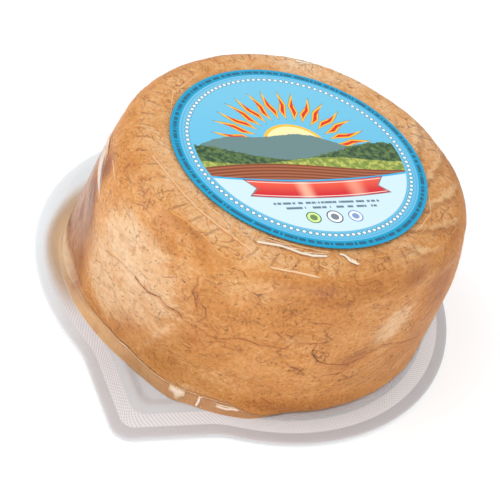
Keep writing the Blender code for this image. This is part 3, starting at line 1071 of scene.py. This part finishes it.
    # Hairlines that wave round the wall.
    waves = grain(finish.stretch(place, (1, 1, 4.5)), 0.024, 3, 0.5, 0.3)
    contour = abs((waves * 8 + frayed * 0.12).math("PINGPONG", 0.5) - 0.25)
    gaps = grain(drawn, 0.008, 2, 0.5).step(0.43, 0.60)
    waved = contour.step(0.045, 0.0) * gaps * climb.step(0.014, 0.02)
    coat((132, 70, 30), waved * 0.6)

    # The long cracks.
    aside = abs(marked("crack_offset") + wander * 1.6 + frayed * 0.5)
    wide_crack = marked("crack_width") * (0.7 + 1.4 * frayed + 0.9 * wander)
    depth = marked("crack_depth")
    torn = grain(place, 0.0032, 2, 0.6).step(0.36, 0.6)
    crack = (aside / wide_crack).step(1.3, 0.4) * depth * (0.3 + 0.7 * torn)
    halo = aside.step(1.7, 0.1) * depth
    coat((190, 112, 54), halo * 0.4)
    coat((112, 56, 26), crack * 0.75)

    # Dark specks, thick in some places.
    specked = marked("specked")
    grit = (grain(place, 0.0016, 3, 0.75) + specked * 0.12).step(0.605, 0.665)
    nudge = vector(frayed * 0.001, wander * 0.001, 0.0)
    dot = finish.cells(finish.sum(place, nudge), 0.0034, "F1")
    strewn = (grain(place, 0.0042, 2, 0.6) + specked * 0.13).step(0.565, 0.64)
    speck = grit.math("MAXIMUM", dot.step(0.15, 0.07) * strewn)
    coat((112, 58, 28), speck * 0.62)

    # The spread foot, smooth and amber, with painted shade in a darker line under its crease.
    towards_right = angle.turn(-140, -75) * angle.turn(120, 60)
    smeared = mix((228, 184, 134), (198, 146, 102), towards_right)
    mottled = (cloud * 0.5 + blotch * 0.5).step(0.42, 0.62)
    smeared = mix(smeared, (172, 112, 62), mottled * 0.45)
    coat(smeared, marked("toe") * 0.85)
    coat((138, 82, 40), marked("toe_line") * 0.6)

    relief = fleck * 0.3 + blotch * 0.4 + cloud * 0.3 - crack * 1.0 - hair * 0.4 - plait * 0.4
    relief = relief - waved * 0.3 + edge * 0.6 - shade * 0.3 - rib_painted_shade * 0.5
    return finish.show(finish.solid({
        "Base Color": finish.colour,
        "Roughness": cloud * 0.2 + 0.5,
        "Specular IOR Level": 0.10,
        "Normal": finish.bump(relief, 0.0006, 0.8),
    }))


# ---- film


def tent_share(angle):
    return hill(angle, TENT_DIRECTION, TENT_HALF_WIDTH)


def film_on_wheel(angle, share):
    length = blend(FILM_START, SECTION_LENGTH, share)
    point = wheel_point(angle, length, FILM_GAP)
    foot = film_foot(angle)
    if point.z < TENT_HEIGHT:
        top_reach, _ = wheel_outline(angle, FOOT_LENGTH + TENT_HEIGHT - WHEEL_BOTTOM - FOOT_ROUND)
        foot_reach = hypot(foot.x - WHEEL_CENTRE[0], foot.y - WHEEL_CENTRE[1])
        tent = blend(foot_reach, top_reach, point.z / TENT_HEIGHT)
        reach = hypot(point.x - WHEEL_CENTRE[0], point.y - WHEEL_CENTRE[1])
        reach += tent_share(angle) * max(0.0, tent - reach)
        point = from_axis(angle, reach, point.z)
    return point


def film_foot(angle):
    reach, _ = wheel_outline(angle, FILM_FOOT)
    point = from_axis(angle, reach + FILM_FOOT_GAP, 0.0)
    point.z = tray_height(point.x, point.y) + FILM_REST_GAP
    return point


def film_wall_creases():
    """All lines in the film on the wall and the toe."""
    crease = [
        (WALL_CREASE_WIDTH, strength, ((angle, height), (next_angle, next_height)))
        for (angle, height, strength), (next_angle, next_height, _)
        in zip(TOE_CREASE, TOE_CREASE[1:])
    ]
    return unroll([*TOE_GLINTS, *TENT_FOLDS, *crease])


def make_film():
    rows = prod(FILM_BANDS)
    angles = even_angles(FILM_COLUMNS, MARGIN_WIDTH)
    wall_lines = film_wall_creases()

    def place(column, row):
        angle = angles[column]
        if row == FILM_LYING_ROWS:
            return film_foot(angle)
        if row > FILM_LYING_ROWS:
            return film_on_wheel(angle, (row - FILM_LYING_ROWS) / (rows - FILM_LYING_ROWS))
        hem = from_axis(angle, tray_reach(angle, FILM_HEM_INSET), 0.0, (0, 0))
        point = hem.lerp(film_foot(angle), row / FILM_LYING_ROWS)
        point.z = tray_height(point.x, point.y) + FILM_REST_GAP
        return point

    def marks(point, column, row):
        angle = angles[column]
        x, y, height = point * 1000
        offset, width, strength = CREASE_REACH, 1.0, 0.0
        if point.z > SHOULDER_START + 0.004:
            offset, width, strength = nearest_line(x, y, CREASES, CREASE_REACH)
        elif row > FILM_LYING_ROWS:
            turn = atan2(point.y - WHEEL_CENTRE[1], point.x - WHEEL_CENTRE[0])
            offset, width, strength = nearest_line(
                turn * UNROLLED, height, wall_lines, WALL_CREASE_REACH,
            )
        lying = row < FILM_LYING_ROWS
        beyond = (point - film_foot(angle)).length if lying else 0.0
        climb = smooth((point.z - RIM_TOP) / 0.004) * smooth((TENT_TOP - point.z) / 0.02)
        low = smooth((0.012 - point.z) / 0.008)
        smear = hill(angle, TAN_HAZE_DIRECTION, TAN_HAZE_HALF_WIDTH) ** 0.8
        # Painted light: white haze on the film lying round the wheel's foot away from the toe,
        # which lightens the shade there.
        fillet = smooth(1 - beyond / FILLET_WIDTH) * (1 - toe_presence(angle))
        return {
            "crease_offset": offset, "crease_width": width, "crease_strength": strength,
            "tent": tent_share(angle) * climb,
            "streak": hill(angle, STREAK_DIRECTION, STREAK_HALF_WIDTH) * climb,
            "smear": smear * low * smooth(1 - beyond / TAN_HAZE_WIDTH),
            "fillet": low * fillet * lying,
        }

    film, spots = drum("skin_film", FILM_COLUMNS, FILM_BANDS, place)
    mark(film, [marks(vertex.co, *spot) for vertex, spot in zip(film.data.vertices, spots)])
    bpy.ops.object.mode_set(mode="EDIT")
    bpy.context.tool_settings.mesh_select_mode = (False, False, True)
    select(film, "faces", lambda face: (
        len(face.verts) > 4 and face.calc_center_median().z < RIM_TOP * 2
    ))
    bpy.ops.mesh.delete(type="ONLY_FACE")
    bpy.ops.object.mode_set(mode="OBJECT")
    thicken(film, FILM_SHEET)
    finish_piece(film, film_finish(), "film")


def film_finish():
    finish = Finish("clear_film")
    mix, coat, grain, marked = finish.mix, finish.coat, finish.grain, finish.marked
    place = finish.place()
    angle, _, height = wheel_axes(finish, place)
    ripple = grain(finish.stretch(place, (1, 1, 0.6)), 0.008, 2, 0.5, 0.3)
    wander = grain(place, 0.009, 2, 0.5) - 0.5
    # Painted highlights: along the creases, folds and glints the film's haze turns cream-white.
    aside = abs(marked("crease_offset") + wander * 1.2)
    strength = marked("crease_strength")
    crease = (aside / (marked("crease_width") * (1 + wander))).step(1.3, 0.5)
    crest = crease * strength
    fold = aside.step(1.4, 0.0) * strength

    # Fine upright pulls where the film stands off the wheel.
    pull = grain(finish.vector(angle * 58 + wander * 2.6, height * 90, 0.0), 1.0, 4, 0.66)
    pleats = pull.step(0.54, 0.72) * marked("tent")
    smear = marked("smear")
    fillet = marked("fillet") * (1 - smear)

    # A painted highlight: a wedge of white haze where the film bridges from the tent to the wall.
    lean = (0.0496 + (radians(-136.2) - angle) * 0.0255).math("MINIMUM", 0.0572)
    wedge_painted_highlight = height.step(0.0486, 0.0498) * (lean - height).step(-0.0004, 0.0008)
    wedge_painted_highlight = wedge_painted_highlight * angle.turn(-164, -148) * angle.turn(-134, -138)

    normal = finish.bump(ripple * 0.4 + fold * 0.9 + pleats * 0.2, 0.0009, 0.7)
    clear = finish.node("ShaderNodeBsdfTransparent", {}, {"Color": (0.985, 0.985, 0.985, 1.0)})
    patchy = grain(place, 0.012, 3, 0.6).step(0.30, 0.56)
    bridge = marked("streak") * (height + wander * 0.03).step(0.056, 0.036)
    bridge = bridge * (0.3 + 0.7 * patchy)

    # What the haze is coloured by: painted highlights along the creases, folds and glints, the
    # wedge's painted highlight, the tent, streaks, a tan haze round the foot at the left and
    # painted light round the rest of the foot.
    shiny = strength.step(0.65, 1.0)
    plain = 1 - crest
    finish.colour = mix((250, 206, 150), (253, 238, 214), shiny)
    low = mix((250, 220, 176), (254, 228, 210), shiny)
    coat(low, height.step(0.012, 0.009))
    coat((222, 204, 196), marked("tent"))
    coat((228, 214, 206), wedge_painted_highlight)
    pulled = pull.step(0.36, 0.6)
    streak = mix((174, 104, 64), (212, 160, 118), pulled)
    # A tan haze on the film round the foot at the left.
    coat((216, 180, 140), smear.step(0, 0.05) * plain)
    above = bridge.step(0, 0.1) * smear.step(0.8, 0.05)
    coat(streak, above * plain * (1 - wedge_painted_highlight))
    # Painted light round the rest of the wheel's foot.
    coat((248, 244, 246), fillet.step(0, 0.05) * plain)
    white = finish.solid({"Base Color": finish.colour, "Roughness": 0.25, "Normal": normal})
    haze = crest * 0.8 + pleats * 0.2 + smear * 0.8 + wedge_painted_highlight * 0.62 + fillet * 0.7
    haze = haze + bridge * (0.86 - 0.34 * pulled)
    veil = finish.node(
        "ShaderNodeMixShader", {}, {0: haze.math("MINIMUM", 0.85), 1: clear, 2: white},
    )
    gloss = finish.node(
        "ShaderNodeBsdfGlossy", {}, {"Color": (1, 1, 1, 1), "Roughness": 0.24, "Normal": normal},
    )
    slant = finish.node("ShaderNodeLayerWeight", {}, {"Blend": 0.5, "Normal": normal}, "Facing")
    mirror = 0.012 + 0.05 * slant ** 5
    return finish.show(finish.node("ShaderNodeMixShader", {}, {0: mirror, 1: veil, 2: gloss}))


# ---- label


def make_label():
    bpy.ops.object.select_all(action="DESELECT")
    middle = (*WHEEL_CENTRE, LABEL_BOTTOM + LABEL_SHEET / 2)
    bpy.ops.mesh.primitive_cylinder_add(
        vertices=240, radius=LABEL_RADIUS, depth=LABEL_SHEET, location=middle,
    )
    label = start_piece("round_label")
    bpy.ops.object.transform_apply(location=True, rotation=False, scale=False)
    finish_piece(label, label_finish(), "label", 40)


def label_finish():
    """A print of plain shapes. Places on it are in units of the label's radius."""
    finish = Finish("label_print")
    mix, coat, grain = finish.mix, finish.coat, finish.grain
    place = finish.sum(finish.place(), (-WHEEL_CENTRE[0], -WHEEL_CENTRE[1], 0))
    turned = radians(LABEL_TURN)
    across = finish.dot(place, (cos(turned), sin(turned), 0)) / LABEL_RADIUS
    up = finish.dot(place, (-sin(turned), cos(turned), 0)) / LABEL_RADIUS
    reach = span(across, up)
    turn = across.math("ARCTAN2", up)
    edge = 0.004

    def inside(value, limit):
        return value.step(limit + edge, limit - edge)

    def beyond(value, limit):
        return value.step(limit - edge, limit + edge)

    def between(value, low, high):
        return inside(abs(value - (low + high) / 2), (high - low) / 2)

    def disc(x, y, radius):
        return span(across - x, up - y) / radius

    def wave(stretch, shift):
        return (across * stretch + shift).math("SINE")

    def saw(value):
        """Distance from the middle of each whole step of a value, with its sign."""
        return (value + 50).math("FRACT") - 0.5

    navy, amber = (36, 66, 92), (255, 190, 44)
    sky = mix((102, 188, 222), (116, 194, 224), up.step(-0.2, 0.9))
    finish.colour = sky
    rough = grain(place, 0.0024, 4, 0.6)
    inner = inside(reach, PICTURE_EDGE)

    # A sun with rays of lozenges, long and short by turns.
    from_sun = disc(0.0, SUN_HEIGHT, 1.0)
    ray_turn = across.math("ARCTAN2", up - SUN_HEIGHT) * (SUN_RAYS / 2 / pi)
    short = abs(saw(ray_turn * 0.5)).step(0.24, 0.26)
    ray = abs(saw(ray_turn)) * 2.3
    ray = ray + abs(from_sun - 0.50 + short * 0.07) / (0.185 - short * 0.07)
    coat((112, 120, 74), inside(ray, 1.0) * inner)
    coat(amber, inside(ray, 0.91) * inner)
    coat((218, 46, 30), inside(ray, 0.58) * inner)
    coat(amber, inside(from_sun, 0.27))
    coat((250, 232, 172), inside(from_sun, 0.245))

    def land(crest, tint):
        coat(tint, inside(up - crest, 0.0) * inner)

    # A wide stretch of land: hills, woods, a meadow and ploughed soil.
    far_hill = 0.13 + 0.09 * wave(3.3, 2.2) + 0.03 * wave(8.1, 0.4) + (rough - 0.5) * 0.04
    land(far_hill, (104, 134, 134))
    near_hill = 0.02 + 0.09 * wave(3.9, -1.2) + (rough - 0.5) * 0.1
    land(near_hill, mix((42, 72, 46), (96, 122, 70), rough.step(0.4, 0.62)))
    meadow = -0.08 + 0.03 * wave(5.0, 0.6)
    land(meadow, mix((120, 142, 62), (196, 196, 96), rough.step(0.42, 0.66)))
    soil = -0.16 + 0.05 * wave(2.6, 2.6)
    furrow = ((up - soil) * 190).math("SINE").step(-0.5, 0.6)
    land(soil, mix((128, 66, 40), (172, 98, 62), furrow))

    # Under the land a plain pale field.
    ground = -0.30 + 0.10 * across * across
    land(ground, (206, 230, 240))
    coat((36, 178, 232), between(up - ground, -0.012, 0.006) * inner)

    # A red ribbon with two notched tails across the middle of the lower half.
    share = (up + 0.40 - 0.12 * across * across) / 0.083
    cut = abs(across) + 0.07 * (1 - abs(share))
    ribbon = inside(abs(share), 1.0) * inside(cut, 0.56)
    red = mix((206, 26, 42), (238, 90, 66), share.step(-1, 1))
    sheen = abs(across + 0.12).step(0.09, 0.0) + 0.6 * abs(across - 0.3).step(0.11, 0.0)
    red = mix(red, (255, 202, 170), (sheen * 0.7).math("MINIMUM", 1.0))
    red = mix(red, (255, 226, 216), between(abs(share), 0.8, 0.88))
    border = inside(abs(share), 1.1) * inside(cut, 0.575)
    coat((110, 40, 60), border * 0.8)
    coat(red, ribbon)

    # Rows of small dashes, and three seals.
    for row, half_row in ((-0.535, 0.43), (-0.585, 0.39)):
        words = grain(finish.vector(across * 34, row * 40, 0.0), 1.0, 1, 0.4)
        dash = inside(abs(up - row), 0.011) * inside(abs(across), half_row)
        coat(navy, dash * beyond(words, 0.43) * 0.8)
    for x, radius, ring, face in (
        (-0.17, 0.058, (24, 96, 60), (214, 236, 150)),
        (0.0, 0.064, navy, (246, 248, 250)),
        (0.17, 0.058, (60, 120, 190), (246, 248, 250)),
    ):
        seal = disc(x, -0.685, radius)
        coat(ring, inside(seal, 1.0))
        coat(face, inside(seal, 0.86))
        coat(ring, inside(seal, 0.5) * 0.8)

    # A row of beads, and a darker rim with a thin inner line and small ticks.
    coat(sky, between(reach, PICTURE_EDGE, 0.92))
    bead = span(saw(turn * (BEADS / 2 / pi)) * BEAD_PITCH, reach - BEAD_RING)
    coat(navy, inside(bead, 0.019) * 0.8)
    coat((244, 248, 250), inside(bead, 0.013))
    coat((84, 168, 214), between(reach, 0.905, 0.918) * 0.7)
    coat((4, 154, 196), beyond(reach, 0.93))
    ticks = grain(finish.vector(turn * 34, 0.0, 0.0), 1.0, 1, 0.4)
    coat(navy, between(reach, 0.948, 0.976) * beyond(ticks, 0.45) * 0.75)

    return finish.show(finish.solid({
        "Base Color": finish.colour,
        "Roughness": 0.4,
        "Specular IOR Level": 0.25,
        "Normal": finish.bump(grain(place, 0.004, 2), 0.00005),
    }))


# ---- stage, light and camera


def make_stage():
    bpy.ops.object.select_all(action="DESELECT")
    bpy.ops.mesh.primitive_plane_add(size=6, location=(0, 0, 0))
    floor = start_piece("floor")
    finish = Finish("floor_white")
    floor.data.materials.append(finish.show(finish.solid({
        "Base Color": finish.grain(finish.place(), 0.3) * 0.02 + 0.90, "Roughness": 0.8,
        "Emission Color": (1, 1, 1, 1), "Emission Strength": FLOOR_GLOW,
    })))


def add_lamp(name, place, target, watts):
    data = bpy.data.lights.new(name, "AREA")
    data.shape = "RECTANGLE"
    data.size = data.size_y = LAMP_SIZE
    data.energy = watts
    lamp = bpy.data.objects.new(name, data)
    bpy.context.scene.collection.objects.link(lamp)
    lamp.location = place
    lamp.rotation_euler = (Vector(target) - Vector(place)).to_track_quat("-Z", "Y").to_euler()


def make_lights():
    world = bpy.data.worlds.new("studio")
    bpy.context.scene.world = world
    world.use_nodes = True
    room = world.node_tree.nodes["Background"].inputs
    room["Color"].default_value = ROOM_COLOUR
    room["Strength"].default_value = ROOM_LIGHT
    for lamp in LAMPS:
        add_lamp(*lamp)


def make_camera():
    right = Vector((cos(CAMERA_AZIMUTH), sin(CAMERA_AZIMUTH), 0))
    level = Vector((sin(CAMERA_AZIMUTH), -cos(CAMERA_AZIMUTH), 0))
    back = level * cos(CAMERA_ELEVATION) + Vector((0, 0, sin(CAMERA_ELEVATION)))
    up = back.cross(right)
    across = right * cos(CAMERA_ROLL) + up * sin(CAMERA_ROLL)
    upward = up * cos(CAMERA_ROLL) - right * sin(CAMERA_ROLL)
    data = bpy.data.cameras.new("camera")
    data.lens = CAMERA_LENS
    data.sensor_width = 36
    data.clip_start = 0.01
    camera = bpy.data.objects.new("camera", data)
    bpy.context.scene.collection.objects.link(camera)
    pose = Matrix((across, upward, back)).transposed().to_4x4()
    pose.translation = CAMERA_TARGET + back * CAMERA_DISTANCE
    camera.matrix_world = pose
    bpy.context.scene.camera = camera


def main():
    make_tray()
    make_cheese()
    make_film()
    make_label()
    make_stage()
    make_lights()
    make_camera()
    bpy.context.scene.view_settings.view_transform = "Standard"


main()
